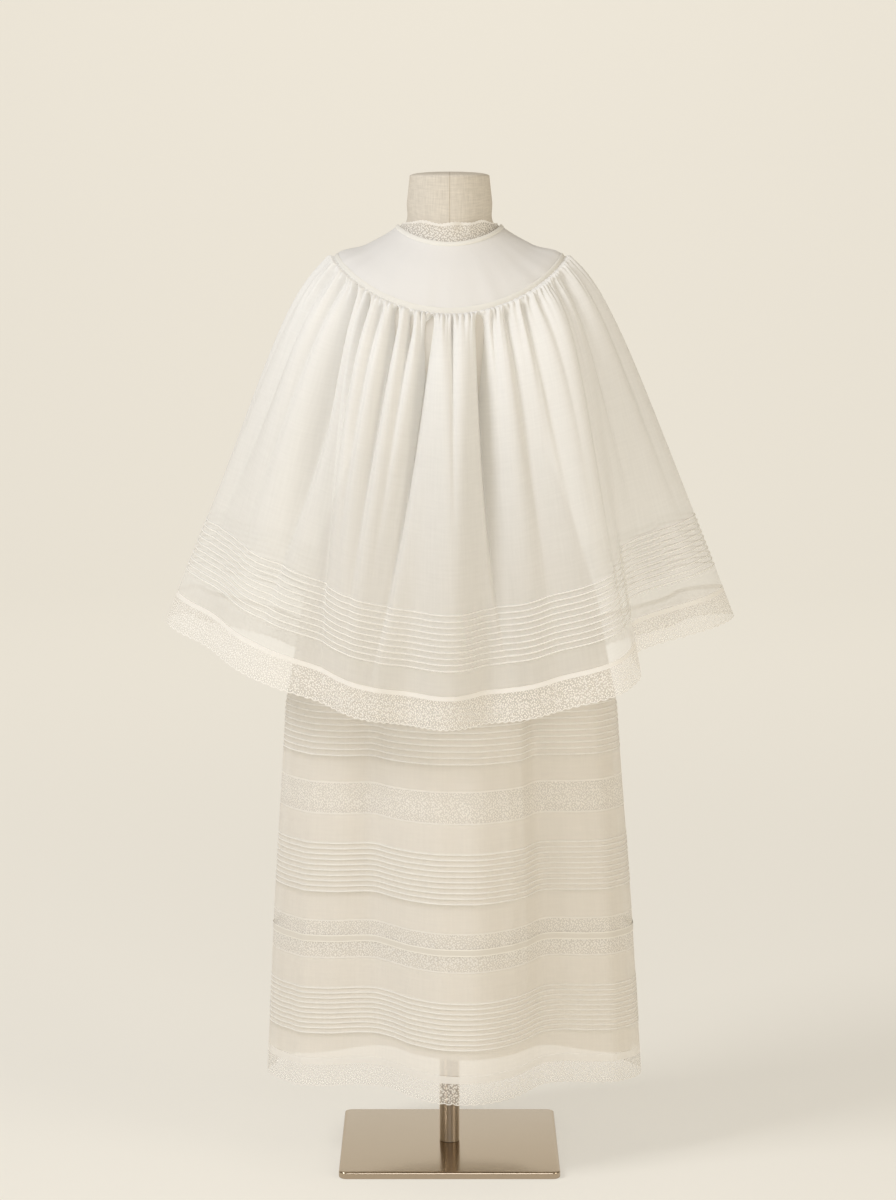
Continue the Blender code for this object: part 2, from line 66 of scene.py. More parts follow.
PLATE_SIDE = 0.216
PLATE_THICKNESS = 0.007
PLATE_CORNER = 0.008
PLATE_EDGE = 0.0015
POLE_RADIUS = 0.010
POLE_LENGTH = 0.5927
POLE_FOOT = 0.0073

# Bodice, from the neck to the waist in levels of the form
BODICE_OUT = 0.0029
BODICE_LEVELS = (2.24, 6.862)
BODICE_ROWS = 70
BODICE_COLUMNS = 61
BODICE_HALF_CUT = 0.14
SIDE_SEAM_ANGLE = 0.002
ARMHOLE_MIDDLE = 4.95
ARMHOLE_REACH = 1.1
ARMHOLE_ANGLE = math.radians(27)

# Yoke and its strips, in levels of the form, and the neck lace
YOKE_OUT = 0.0045
YOKE_LEVELS = (2.14, 3.9)
YOKE_RIPPLE = 0.0003
BINDING_LEVELS = (2.04, 2.175)
PIPING_LEVELS = (3.84, 3.99)
STRIP_LIFT = 0.0002
STRIP_CROWN = 0.0007
COLLAR_OUT = 0.0023
COLLAR_FOOT = 2.21
COLLAR_TOP = 1.50
COLLAR_SIDE_DROP = 0.45
COLLAR_STAND_OFF = 0.0022
COLLAR_DEPTH = 0.026
COLLAR_RISE = 0.0010
COLLAR_SCALLOP = 0.0007
COLLAR_COLUMNS = 352
COLLAR_GIRTH_RADIUS = 0.046
YOKE_EDGE = 4.0

# Cape: leans from the vertical at the yoke and at the hem, for the sides and for the back and
# front, and the turn down at the seam, for the back and front and for the sides
CAPE_LENGTH = 0.394
CAPE_LACE_START = 0.3625
CAPE_SIDE_LEAN = (math.radians(74.0), math.radians(21.5))
CAPE_END_LEAN = (math.radians(38.0), math.radians(8.6))
CAPE_SETTLE = 0.037
CAPE_TURN = (math.radians(24.0), math.radians(49.0))
CAPE_TURN_SETTLE = 0.003
CAPE_LEAN_STEPS = 120
CAPE_LIFT = 0.0022
CAPE_LIFT_SETTLE = 0.03
CAPE_EDGE_OUT = 0.0045
CAPE_OPENING_START = 0.0004
CAPE_OPENING_SPREAD = 0.012
CAPE_OPENING_RADIUS = 0.12
CAPE_TUCK_START = 0.2870
CAPE_TUCK_PITCH = 0.0058
CAPE_COLUMNS = 960
CAPE_HALF_CUT = 0.75
CAPE_SEAM_ROWS = (-0.0016, 0.0, 0.0005, 0.0012, 0.0022, 0.0034, 0.0048, 0.0065, 0.0085, 0.011, 0.014)
CAPE_FOOT_ROWS = (0.3435, 0.3475, 0.352, 0.357)

# One tuck down the cloth: place, relief and material slot
TUCKS = 10
TUCK_HEIGHT = 0.0006
TUCK_PROFILE = (
    (-0.0024, 0.0, 0),
    (-0.0007, 0.0, 1),
    (-0.0004, TUCK_HEIGHT, 1),
    (0.0002, TUCK_HEIGHT, 1),
    (0.0005, 0.0, 0),
)
# Gaps between sewn pieces, and the steps that find which way a surface faces
SEAM_GAP = 0.00015
ROW_STEP = 0.0005
LEVEL_STEP = 0.02
ANGLE_STEP = 0.004

# Gathers of the cape: how many all round, how high, where down the cloth they are highest,
# how fast they fade and how unevenly they are spread
Gather = namedtuple("Gather", "count height peak fade warp")
GATHERS = (
    Gather(144, 0.0048, 0.0030, 0.0085, 0.50),
    Gather(64, 0.0040, 0.0070, 0.018, 0.55),
    Gather(38, 0.0024, 0.0220, 0.045, 0.70),
)
GATHER_AT_SEAM = 0.3

# Skirt, from the seam under the bodice to the hem
SKIRT_TOP = 0.6997
SKIRT_HEM = 0.0830
SKIRT_SHIFT = 0.003
SKIRT_FLATTEN = 0.35
SKIRT_FOLD_LIFT = 0.25
SKIRT_RIPPLE = 0.0006
SKIRT_COLUMNS = 480
SKIRT_CUT = 1.10
Section = namedtuple("Section", "height half_width half_depth")
SKIRT_SECTIONS = (
    Section(0.700, 0.0945, 0.0775),
    Section(0.640, 0.1200, 0.0950),
    Section(0.560, 0.1450, 0.1080),
    Section(0.454, 0.1650, 0.1180),
    Section(0.254, 0.1800, 0.1235),
    Section(0.078, 0.1905, 0.1270),
)
# Heights of the bands, from the top down, and the highest tuck and the pitch of each group
UPPER_TUCKS = (0.4665, 0.0060)
INSERTION_1 = (0.3870, 0.3545)
MIDDLE_TUCKS = (0.3255, 0.0053)
INSERTION_2 = (0.2500, 0.2110)
RIBBON_BAND = (0.2345, 0.2275)
RIBBON_WIDTH = 0.007
RIBBON_OUT = 0.0006
RIBBON_GIRTH_RADIUS = 0.175
LOWER_TUCKS = (0.1810, 0.0050)
HEM_LACE_TOP = 0.1110
SLIP_HEM = 0.1250
SLIP_INSET = 0.0070
SLIP_INSET_TOP = 0.0013
SLIP_INSET_DROP = 0.12
SLIP_SIDE_DROP = 0.022
SLIP_GIRTH_RADIUS = 0.17

# Folds: angles at the top and the bottom, widths to each side in degrees, and depths at
# the top, halfway down and at the bottom
Fold = namedtuple("Fold", "start end left right top middle bottom")
CAPE_FOLDS = (
    Fold(-78, -68, 8, 9, 0.0, 0.006, 0.013),
    Fold(-58, -37, 8, 8, 0.0, 0.012, 0.010),
    Fold(-33, -25, 10, 9, 0.0, -0.007, -0.008),
    Fold(-9, -14, 6, 7, 0.0, 0.010, 0.009),
    Fold(2, -1, 6, 6, 0.0, -0.006, -0.006),
    Fold(13.5, 12, 6, 7, 0.0, 0.022, 0.018),
    Fold(29, 33, 5, 6, 0.0, 0.008, 0.004),
    Fold(44, 42, 8, 7, 0.0, -0.008, -0.010),
    Fold(66, 63, 8, 14, 0.0, 0.018, 0.056),
    Fold(101, 106, 8, 9, 0.0, 0.010, 0.022),
    Fold(125, 129, 9, 9, 0.0, 0.013, 0.020),
    Fold(148, 151, 7, 8, 0.0, 0.011, 0.016),
    Fold(167, 168, 6, 6, 0.0, 0.007, 0.009),
    Fold(-99, -98, 8, 9, 0.0, 0.011, 0.020),
    Fold(-121, -124, 9, 8, 0.0, 0.013, 0.023),
    Fold(-145, -149, 8, 8, 0.0, 0.012, 0.017),
    Fold(-167, -169, 6, 6, 0.0, 0.006, 0.010),
)
SKIRT_FOLDS = (
    Fold(-33, -27, 15, 14, 0.0, 0.014, 0.028),
    Fold(2, 4, 14, 13, 0.0, -0.004, -0.006),
    Fold(37, 35, 13, 15, 0.0, 0.016, 0.028),
    Fold(68, 70, 12, 12, 0.0, -0.003, -0.004),
    Fold(98, 102, 13, 14, 0.0, 0.008, 0.014),
    Fold(146, 142, 14, 13, 0.0, 0.013, 0.024),
    Fold(-178, -179, 15, 15, 0.0, -0.004, -0.006),
    Fold(-140, -137, 14, 15, 0.0, 0.014, 0.026),
    Fold(-96, -94, 13, 12, 0.0, 0.007, 0.012),
)
# Creases of the cape that only the visual model has: angles at the yoke, halfway down and
# at the hem, widths to each side in degrees, and depths at the same three places
Crease = namedtuple("Crease", "start halfway end left right top middle bottom")
CAPE_CREASES = (
    Crease(-10, -20, -26, 5.5, 3.2, 0.0070, 0.0110, 0.0040),
    Crease(15.5, 18.0, 22.0, 3.0, 5.5, 0.0070, 0.0120, 0.0040),
    Crease(-84, -86, -88, 3.0, 3.8, 0.0080, 0.0065, 0.0020),
    Crease(-70, -75, -80, 2.5, 3.4, 0.0080, 0.0060, 0.0030),
    Crease(-61, -64, -66, 2.3, 2.7, 0.0110, 0.0040, 0.0000),
    Crease(-51, -52.5, -54, 3.8, 2.8, 0.0150, 0.0240, 0.0030),
    Crease(-46, -43.5, -37, 5.1, 1.4, 0.0000, 0.0110, 0.0042),
    Crease(-42, -42, -40, 2.6, 2.2, 0.0150, 0.0060, 0.0000),
    Crease(-34, -36, -36, 2.1, 2.3, 0.0100, 0.0030, 0.0000),
    Crease(-26, -30, -31, 2.6, 2.2, 0.0160, 0.0130, 0.0000),
    Crease(-18, -24, -26, 2.4, 2.2, 0.0110, 0.0030, 0.0000),
    Crease(-8, -17, -24, 2.0, 1.5, 0.0140, 0.0156, 0.0030),
    Crease(1.2, 1.5, 2, 1.4, 1.5, 0.0087, -0.0026, 0.0000),
    Crease(13.5, 15.5, 20, 1.4, 1.9, 0.0140, 0.0169, 0.0030),
    Crease(20.5, 21, 22, 1.6, 1.8, 0.0051, -0.0013, 0.0000),
    Crease(27, 31, 33, 2.6, 3.4, 0.0090, 0.0050, 0.0000),
    Crease(36.5, 40, 42, 2.8, 3.8, 0.0085, 0.0065, 0.0000),
    Crease(46, 46, 46, 2.4, 2.8, 0.0045, 0.0000, 0.0000),
    Crease(57, 53.5, 49.5, 1.8, 6.8, 0.0050, 0.0165, 0.0060),
    Crease(66, 68, 70, 2.0, 2.5, 0.0072, 0.0039, 0.0000),
    Crease(78, 80, 82, 2.5, 3.0, 0.0072, 0.0039, 0.0010),
    Crease(89, 92, 95, 2.5, 2.5, 0.0087, 0.0052, 0.0020),
    Crease(103, 106, 108, 2.2, 2.9, 0.0080, 0.0078, 0.0020),
    Crease(114, 117, 119, 2.0, 2.2, 0.0087, 0.0026, 0.0000),
    Crease(127, 128, 131, 2.4, 2.5, 0.0101, 0.0078, 0.0020),
    Crease(139, 141, 142, 1.9, 2.2, 0.0080, 0.0013, 0.0000),
    Crease(149, 151, 153, 2.0, 1.9, 0.0101, 0.0065, 0.0015),
    Crease(161, 162, 164, 1.7, 2.0, 0.0087, 0.0026, 0.0000),
    Crease(172, 172.5, 173, 1.7, 1.7, 0.0080, 0.0039, 0.0010),
    Crease(-96, -98, -101, 2.5, 2.4, 0.0087, 0.0065, 0.0020),
    Crease(-107, -110, -112, 2.0, 2.5, 0.0080, 0.0026, 0.0000),
    Crease(-118, -121, -125, 2.7, 2.4, 0.0101, 0.0091, 0.0020),
    Crease(-130, -132, -134, 2.0, 2.0, 0.0080, 0.0013, 0.0000),
    Crease(-142, -145, -147, 2.4, 2.2, 0.0094, 0.0078, 0.0020),
    Crease(-153, -154, -156, 1.9, 2.0, 0.0080, 0.0020, 0.0000),
    Crease(-164, -166, -168, 2.0, 1.9, 0.0094, 0.0059, 0.0015),
    Crease(-174, -174, -174.5, 1.5, 1.7, 0.0072, 0.0013, 0.0000),
)
CREASE_ONSET = 0.009
CREASE_SPREAD = 0.030
CREASE_SCALE = 1.25
CREASE_NARROWING = 0.55
CREASE_FADE = 0.9
CREASE_BLUNTNESS = 0.25
SKIRT_CREASES = (
    Fold(-35, -29, 6.0, 7.0, 0.0090, 0.0140, -0.0080),
    Fold(31, 36, 6.0, 8.0, 0.0090, 0.0150, -0.0080),
    Fold(0, 2, 4.0, 4.0, 0.0030, 0.0020, 0.0000),
    Fold(24, 25, 1.6, 2.2, -0.001, -0.0030, 0.0000),
    Fold(-12, -10, 3.0, 4.0, 0.0, 0.0020, 0.0010),
    Fold(15, 17, 3.5, 3.0, 0.0, 0.0015, 0.0020),
    Fold(-55, -52, 5.0, 4.0, 0.0, -0.0025, -0.0020),
    Fold(55, 58, 4.0, 5.0, 0.0, -0.0025, -0.0015),
    Fold(120, 122, 4.0, 4.0, 0.0, 0.0020, 0.0020),
    Fold(165, 163, 3.0, 4.0, 0.0, 0.0020, 0.0010),
    Fold(-115, -118, 4.0, 3.0, 0.0, 0.0025, 0.0015),
    Fold(-160, -158, 4.0, 3.5, 0.0, 0.0015, 0.0020),
)

# Lace: colour, slant and fineness of its net, its scallops, and its rosettes as shift along the
# row, place down the lace, radius as a share of its depth, and petals
LACE_COLOUR = (0.895, 0.868, 0.81)
LACE_BIAS = math.radians(41.0)
LACE_MESHES = 500.0
SCALLOP_PITCH = 0.0076
SCALLOP_DEPTH = 0.0017
ROSETTES = ((0.0, 0.56, 0.22, 6.0), (0.5, 0.68, 0.15, 5.0), (0.5, 0.36, 0.11, 4.0))
CLOTH_GRAINS = ((420.0, 26.0, 1.0), (30.0, 420.0, 1.0))
LINEN_GRAINS = ((620.0, 60.0, 1.0), (60.0, 620.0, 1.0))

# Studio: a floor that curves up into a wall, the lamps and the camera
SWEEP_NEAR = -6.0
SWEEP_START = 4.2
SWEEP_RADIUS = 1.6
SWEEP_STEPS = 12
SWEEP_HEIGHT = 6.0
SWEEP_HALF_WIDTH = 7.0
Softbox = namedtuple("Softbox", "name place aim size power colour")
SOFTBOXES = (
    Softbox("key", (-2.5, -1.5, 2.9), (0.0, 0.0, 0.55), (1.2, 1.2), 84.0, (0.895, 0.925, 1.0)),
    Softbox("front", (0.2, -3.6, 1.3), (0.0, 0.0, 0.4), (1.6, 1.2), 28.0, (0.925, 0.94, 1.0)),
    Softbox("fill", (2.6, -1.8, 1.5), (0.0, 0.0, 0.5), (1.6, 1.8), 27.0, (1.0, 0.94, 0.85)),
    Softbox("left", (-1.8, -2.4, 0.9), (0.0, 0.0, 0.4), (0.9, 1.4), 6.0, (1.0, 0.96, 0.90)),
    Softbox("right", (2.2, -1.85, 0.9), (0.0, 0.0, 0.4), (0.6, 1.4), 5.0, (1.0, 0.95, 0.88)),
    Softbox("wall", (0.0, 2.4, 3.4), (0.0, 5.8, 1.1), (4.0, 0.8), 60.0, (1.0, 0.985, 0.96)),
)
CAMERA_LENS = 98.6
CAMERA_SENSOR = 36.0
CAMERA_PLACE = (-0.0015, -3.2, 0.988)
CAMERA_PITCH = 7.72


def between(values, level):
    """Value of a smooth curve through the given values at a level."""
    last = len(values) - 1
    index = int(min(max(math.floor(level), 0), last - 1))
    t = level - index
    p0 = values[max(index - 1, 0)]
    p1 = values[index]
    p2 = values[index + 1]
    p3 = values[min(index + 2, last)]
    bend = 2 * p0 - 5 * p1 + 4 * p2 - p3
    return p1 + 0.5 * t * ((p2 - p0) + t * (bend + t * (3 * (p1 - p2) + p3 - p0)))


def on_form(phi, level, out=0.0):
    """Points round the form at one level, moved out from it."""
    ring = Ring(*(between(values, level) for values in zip(*FORM_RINGS)))
    end = np.where(np.cos(phi) > 0, ring.back, ring.front)
    height = ring.side + (end - ring.side) * np.abs(np.cos(phi)) ** SADDLE
    x = (ring.half_width + out) * np.sin(phi)
    y = -(ring.half_depth + out) * np.cos(phi)
    return np.stack([x, y, height + ring.lift * out], axis=-1)


def fold_depth(folds, phi, share):
    """Depth of all folds round one row at a share of the cloth's length."""
    degrees = np.degrees(phi)
    total = np.zeros_like(degrees)
    for fold in folds:
        centre = fold.start + (fold.end - fold.start) * share
        away = (degrees - centre + 180.0) % 360.0 - 180.0
        width = np.where(away < 0, fold.left, fold.right)
        depth = (1 - share) ** 2 * fold.top
        depth += 2 * share * (1 - share) * fold.middle + share ** 2 * fold.bottom
        total += depth * np.exp(-(away / width) ** 2)
    return total


def crease_depth(phi, length):
    """Depth of the sharp-bottomed creases round one row of the cape."""
    degrees = np.degrees(phi)
    share = length / CAPE_LENGTH
    onset = CREASE_SCALE * (1.0 - math.exp(-(length / CREASE_ONSET) ** 1.5))
    spread = 1.0 - CREASE_NARROWING * math.exp(-length / CREASE_SPREAD)
    place_weights = ((1 - share) * (1 - 2 * share), 4 * share * (1 - share), share * (2 * share - 1))
    depth_weights = ((1 - share) ** 2, 2 * share * (1 - share), share ** 2)
    total = np.zeros_like(degrees)
    for crease in CAPE_CREASES:
        centre = np.dot(place_weights, (crease.start, crease.halfway, crease.end))
        depth = onset * np.dot(depth_weights, (crease.top, crease.middle, crease.bottom))
        depth *= 1.0 - CREASE_FADE * share ** 3
        away = (degrees - centre + 180.0) % 360.0 - 180.0
        width = np.where(away < 0, crease.left, crease.right) * spread
        total += depth * np.exp(CREASE_BLUNTNESS - np.sqrt((away / width) ** 2 + CREASE_BLUNTNESS ** 2))
    return total


def gather_height(phi, length):
    """Rounded puffs between sharp creases, which start at the seam and flatten further down."""
    total = np.zeros_like(phi)
    for number, gather in enumerate(GATHERS):
        turn = phi * gather.count / 2
        sway = np.sin(7 * phi + number) + np.sin(13 * phi + 2.0 * number + 1.0)
        sway += 0.6 * np.sin(29 * phi + 0.7)
        turn = turn + gather.warp * sway * math.pi / 2
        puff = np.abs(np.sin(turn))
        uneven = 0.72 + 0.28 * np.sin(5 * phi + 3 * number) * np.sin(11 * phi + 0.5)
        if length < gather.peak:
            reach = GATHER_AT_SEAM + (1 - GATHER_AT_SEAM) * (length / gather.peak) ** 0.6
        else:
            reach = math.exp(-(length - gather.peak) / gather.fade)
        total += gather.height * reach * puff * uneven
    return total


def on_cape(phi, length):
    """Points round the cape at a length down the cloth from its yoke."""
    side = np.sin(phi) ** 2
    start = CAPE_END_LEAN[0] + (CAPE_SIDE_LEAN[0] - CAPE_END_LEAN[0]) * side
    finish = CAPE_END_LEAN[1] + (CAPE_SIDE_LEAN[1] - CAPE_END_LEAN[1]) * side ** 1.5
    turn = CAPE_TURN[0] + (CAPE_TURN[1] - CAPE_TURN[0]) * side
    steps = np.linspace(0.0, length, CAPE_LEAN_STEPS + 1)[:, None]
    lean = finish + (start - finish) * np.exp(-np.abs(steps) / CAPE_SETTLE)
    lean = lean - turn * np.exp(-np.abs(steps) / CAPE_TURN_SETTLE)
    pace = length / CAPE_LEAN_STEPS
    out = (np.sin(lean).sum(axis=0) - 0.5 * (np.sin(lean[0]) + np.sin(lean[-1]))) * pace
    down = (np.cos(lean).sum(axis=0) - 0.5 * (np.cos(lean[0]) + np.cos(lean[-1]))) * pace
    run = max(length, 0.0)
    share = run / CAPE_LENGTH
    depth = fold_depth(CAPE_FOLDS, phi, share) + crease_depth(phi, run)
    puff = gather_height(phi, length) if length >= 0.0 else np.zeros_like(phi)
    points = on_form(phi, YOKE_EDGE, CAPE_EDGE_OUT)
    lift = CAPE_LIFT * (1.0 - math.exp(-run / CAPE_LIFT_SETTLE)) * (1.0 - share)
    radial = out - depth + lift + puff * np.cos(lean[-1])
    points[:, 0] += radial * np.sin(phi)
    points[:, 1] -= radial * np.cos(phi)
    points[:, 2] += puff * np.sin(lean[-1]) - down
    return points


def on_skirt(phi, height, inset=0.0):
    """Points round the skirt at one height, moved in from it."""
    share = (SKIRT_TOP - height) / (SKIRT_TOP - SKIRT_HEM)
    heights = [section.height for section in reversed(SKIRT_SECTIONS)]
    half_width = np.interp(height, heights, [s.half_width for s in reversed(SKIRT_SECTIONS)])
    half_depth = np.interp(height, heights, [s.half_depth for s in reversed(SKIRT_SECTIONS)])
    part = min(max(share, 0.0), 1.0)
    depth = fold_depth(SKIRT_FOLDS, phi, part)
    fine = fold_depth(SKIRT_CREASES, phi, part)
    fine = fine + SKIRT_RIPPLE * part * np.sin(31 * phi + 2 * part) * np.sin(5 * phi)
    x = (half_width - depth - fine - inset) * np.sin(phi) + SKIRT_SHIFT * share
    across = np.sign(np.cos(phi)) * np.abs(np.cos(phi)) ** (1 + SKIRT_FLATTEN * part)
    y = -(half_depth - depth - fine - inset) * across
    z = height + SKIRT_FOLD_LIFT * depth * share
    return np.stack([x, y, z], axis=-1)


def on_slip(phi, height):
    """Points round the slip, whose hem dips a little at the sides."""
    fall = min((SKIRT_TOP - height) / SLIP_INSET_DROP, 1.0)
    inset = SLIP_INSET_TOP + (SLIP_INSET - SLIP_INSET_TOP) * fall
    points = on_skirt(phi, height, inset)
    share = (SKIRT_TOP - height) / (SKIRT_TOP - SLIP_HEM)
    points[:, 2] -= SLIP_SIDE_DROP * share * (1 - np.abs(np.cos(phi)) ** 1.5)
    return points


def on_yoke(phi, level):
    """Points round the yoke at one level of the form."""
    return on_form(phi, level, YOKE_OUT)


def on_collar(phi, share):
    """Points round the neck lace at a share of its height from its foot."""
    side = np.sin(phi) ** 6
    levels = COLLAR_FOOT + (COLLAR_TOP + COLLAR_SIDE_DROP * side - COLLAR_FOOT) * share
    places = zip(phi, levels)
    points = np.concatenate([on_form(np.array([a]), level, COLLAR_OUT) for a, level in places])
    wave = 1.0 + 0.45 * np.cos(11 * phi) + 0.25 * np.sin(17 * phi)
    reach = COLLAR_STAND_OFF * share ** 2 * wave * (1.0 - 0.8 * side)
    points[:, 0] += reach * np.sin(phi)
    points[:, 1] -= reach * np.cos(phi)
    points[:, 2] += COLLAR_RISE * share ** 3 * np.sin(9 * phi + 0.6) * np.cos(phi)
    points[:, 2] += COLLAR_SCALLOP * share ** 4 * (np.abs(np.sin(40 * phi)) - 0.5)
    return points


def moved(surface, phi, row, step, distance):
    """One row of points moved out from a surface by a distance."""
    around = surface(phi + ANGLE_STEP, row) - surface(phi - ANGLE_STEP, row)
    along = surface(phi, row + step) - surface(phi, row - step)
    normal = np.cross(around, along)
    normal /= np.linalg.norm(normal, axis=1)[:, None]
    away = np.stack([np.sin(phi), -np.cos(phi), np.zeros_like(phi)], axis=-1)
    normal *= np.sign((normal * away).sum(axis=1)[:, None])
    return surface(phi, row) + normal * np.reshape(distance, (-1, 1))


def around_all(count):
    """Angles all round, the last the same as the first."""
    return np.linspace(-math.pi, math.pi, count + 1)


def lengths_down(rows):
    """Lengths down the middle column of a grid, from its first row."""
    middle = len(rows[0]) // 2
    lengths = [0.0]
    for above, below in zip(rows, rows[1:]):
        lengths.append(lengths[-1] + float(np.linalg.norm(below[middle] - above[middle])))
    return lengths


def plain_rows(places):
    """Rows of smooth cloth: place, relief and material slot."""
    return [(place, 0.0, 0) for place in places]


def tuck_rows(start, pitch, direction):
    """Rows of a group of narrow tucks: place, relief and material slot."""
    rows = []
    for number in range(TUCKS):
        edge = start + direction * pitch * number
        for offset, relief, slot in TUCK_PROFILE:
            rows.append((edge + direction * offset, relief, slot))
    return rows


def scallops(across, share):
    """How far a scalloped edge rises and falls at a share of the lace's depth."""
    return SCALLOP_DEPTH * share ** 3 * (np.abs(np.sin(math.pi * across / SCALLOP_PITCH)) - 0.5)


def placed(name, data):
    """A new object in the scene."""
    made = bpy.data.objects.new(name, data)
    bpy.context.scene.collection.objects.link(made)
    return made


def sheet_mesh(name, rows, across, along, closed, materials, slots=None):
    """A single-sided grid of cloth with its cut as the UV map, in metres."""
    grid = np.array(rows)
    count = grid.shape[1]
    columns = count - 1 if closed else count
    points = grid[:, :columns].reshape(-1, 3)
    index = np.arange(len(points)).reshape(len(rows), columns)
    if closed:
        index = np.hstack([index, index[:, :1]])
    a, b = index[:-1, :-1], index[:-1, 1:]
    c, d = index[1:, 1:], index[1:, :-1]
    faces = np.stack([a, d, c, b], axis=-1).reshape(-1, 4)
    mesh = bpy.data.meshes.new(name)
    mesh.from_pydata(points.tolist(), [], faces.tolist())
    u, v = np.meshgrid(np.asarray(across), np.asarray(along))
    corner_u = [u[:-1, :-1], u[1:, :-1], u[1:, 1:], u[:-1, 1:]]
    corner_v = [v[:-1, :-1], v[1:, :-1], v[1:, 1:], v[:-1, 1:]]
    uvs = np.stack([np.stack(corner_u, -1), np.stack(corner_v, -1)], axis=-1).reshape(-1, 2)
    layer = mesh.uv_layers.new(name="Cut")
    layer.data.foreach_set("uv", uvs.astype(np.float32).ravel())
    for finish in materials:
        mesh.materials.append(finish)
    if slots is not None:
        each = np.repeat(np.asarray(slots, dtype=np.int32), count - 1)
        mesh.polygons.foreach_set("material_index", each)
    mesh.polygons.foreach_set("use_smooth", np.ones(len(faces), dtype=bool))
    mesh.update()
    piece = placed(name, mesh)
    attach(piece, "root")
    return piece


def tucked_sheet(name, rows, across, along, closed, organdy, plan):
    """A grid of organdy whose tucks have the denser cloth."""
    slots = [slot for _, _, slot in plan][:-1]
    return sheet_mesh(name, rows, across, along, closed, [organdy, tuck_cloth], slots)


def nodes_of(name):
    """A new material with its node tree, its shader and its output."""
    material = bpy.data.materials.new(name)
    material.use_nodes = True
    tree = material.node_tree
    return material, tree, tree.nodes["Principled BSDF"], tree.nodes["Material Output"]


def node(tree, kind, **settings):
    """A new node with some of its properties set."""
    made = tree.nodes.new(kind)
    for key, value in settings.items():
        setattr(made, key, value)
    return made


def link(tree, start, end):
    """A link from one socket to another."""
    tree.links.new(start, end)


def maths(tree, operation, first, second=None, third=None):
    """A Math node whose inputs are sockets or numbers."""
    made = node(tree, "ShaderNodeMath", operation=operation)
    for place, value in enumerate((first, second, third)):
        if value is None:
            continue
        if isinstance(value, (int, float)):
            made.inputs[place].default_value = value
        else:
            link(tree, value, made.inputs[place])
    return made.outputs[0]


def cut_sockets(tree):
    """Sockets of the cut in metres: whole, across it and down it."""
    cut = node(tree, "ShaderNodeUVMap", uv_map="Cut").outputs[0]
    parts = node(tree, "ShaderNodeSeparateXYZ")
    link(tree, cut, parts.inputs[0])
    return cut, parts.outputs[0], parts.outputs[1]


def crossed_threads(tree, cut, grains):
    """Mean of two noises, each drawn out along one direction of the cloth."""
    heights = []
    for grain in grains:
        stretched = node(tree, "ShaderNodeMapping")
        stretched.inputs["Scale"].default_value = grain
        link(tree, cut, stretched.inputs[0])
        slubs = node(tree, "ShaderNodeTexNoise", noise_dimensions="2D")
        slubs.inputs["Scale"].default_value = 1.0
        slubs.inputs["Detail"].default_value = 2.0
        link(tree, stretched.outputs[0], slubs.inputs["Vector"])
        heights.append(slubs.outputs[0])
    return maths(tree, "MULTIPLY", maths(tree, "ADD", *heights), 0.5)


def two_tones(tree, share, first, second):
    """A colour between two others by a socket's share."""
    tone = node(tree, "ShaderNodeMixRGB")
    tone.inputs[1].default_value = (*first, 1.0)
    tone.inputs[2].default_value = (*second, 1.0)
    link(tree, share, tone.inputs[0])
    return tone.outputs[0]


def bumped(tree, shader, height, strength, distance):
    """Gives a shader the relief of a height."""
    bump = node(tree, "ShaderNodeBump")
    bump.inputs["Strength"].default_value = strength
    bump.inputs["Distance"].default_value = distance
    link(tree, height, bump.inputs["Height"])
    link(tree, bump.outputs[0], shader.inputs["Normal"])


def mixed(tree, share, first, second):
    """Mix of two shader sockets by a socket or a number."""
    mix = node(tree, "ShaderNodeMixShader")
    if isinstance(share, float):
        mix.inputs[0].default_value = share
    else:
        link(tree, share, mix.inputs[0])
    link(tree, first, mix.inputs[1])
    link(tree, second, mix.inputs[2])
    return mix.outputs[0]


def see_through(tree, cover, threads, output):
    """Threads that cover part of the surface, with clear gaps between."""
    clear = node(tree, "ShaderNodeBsdfTransparent")
    link(tree, mixed(tree, cover, clear.outputs[0], threads), output.inputs["Surface"])


def cloth(name, colour, opacity, through=0.25, slub=0.02, weave=0.05, run=None):
    """Woven cloth: diffuse and translucent threads, with clear gaps where it is sheer.

    opacity holds the cover at the start and the end of run, in metres down the cut.
    Opaque cloth has neither.
    """
    material, tree, shader, output = nodes_of(name)
    shader.inputs["Roughness"].default_value = 0.85
    shader.inputs["Specular IOR Level"].default_value = 0.2
    shader.inputs["Sheen Weight"].default_value = 0.15
    cut, _, down = cut_sockets(tree)
    woven = crossed_threads(tree, cut, CLOTH_GRAINS)
    darker = [c * (1 - slub) for c in colour]
    lighter = [min(c * (1 + slub), 1.0) for c in colour]
    tone = two_tones(tree, woven, darker, lighter)
    link(tree, tone, shader.inputs["Base Color"])
    bumped(tree, shader, woven, weave, 0.0004)
    glow = node(tree, "ShaderNodeBsdfTranslucent")
    link(tree, tone, glow.inputs["Color"])
    threads = mixed(tree, through, shader.outputs[0], glow.outputs[0])
    if opacity is None:
        link(tree, threads, output.inputs["Surface"])
        return material
    dense = node(tree, "ShaderNodeMapRange")
    dense.inputs["From Min"].default_value = run[0]
    dense.inputs["From Max"].default_value = run[1]
    dense.inputs["To Min"].default_value = opacity[0]
    dense.inputs["To Max"].default_value = opacity[1]
    link(tree, down, dense.inputs[0])
    see_through(tree, maths(tree, "MULTIPLY_ADD", woven, 0.06, dense.outputs[0]), threads, output)
    return material


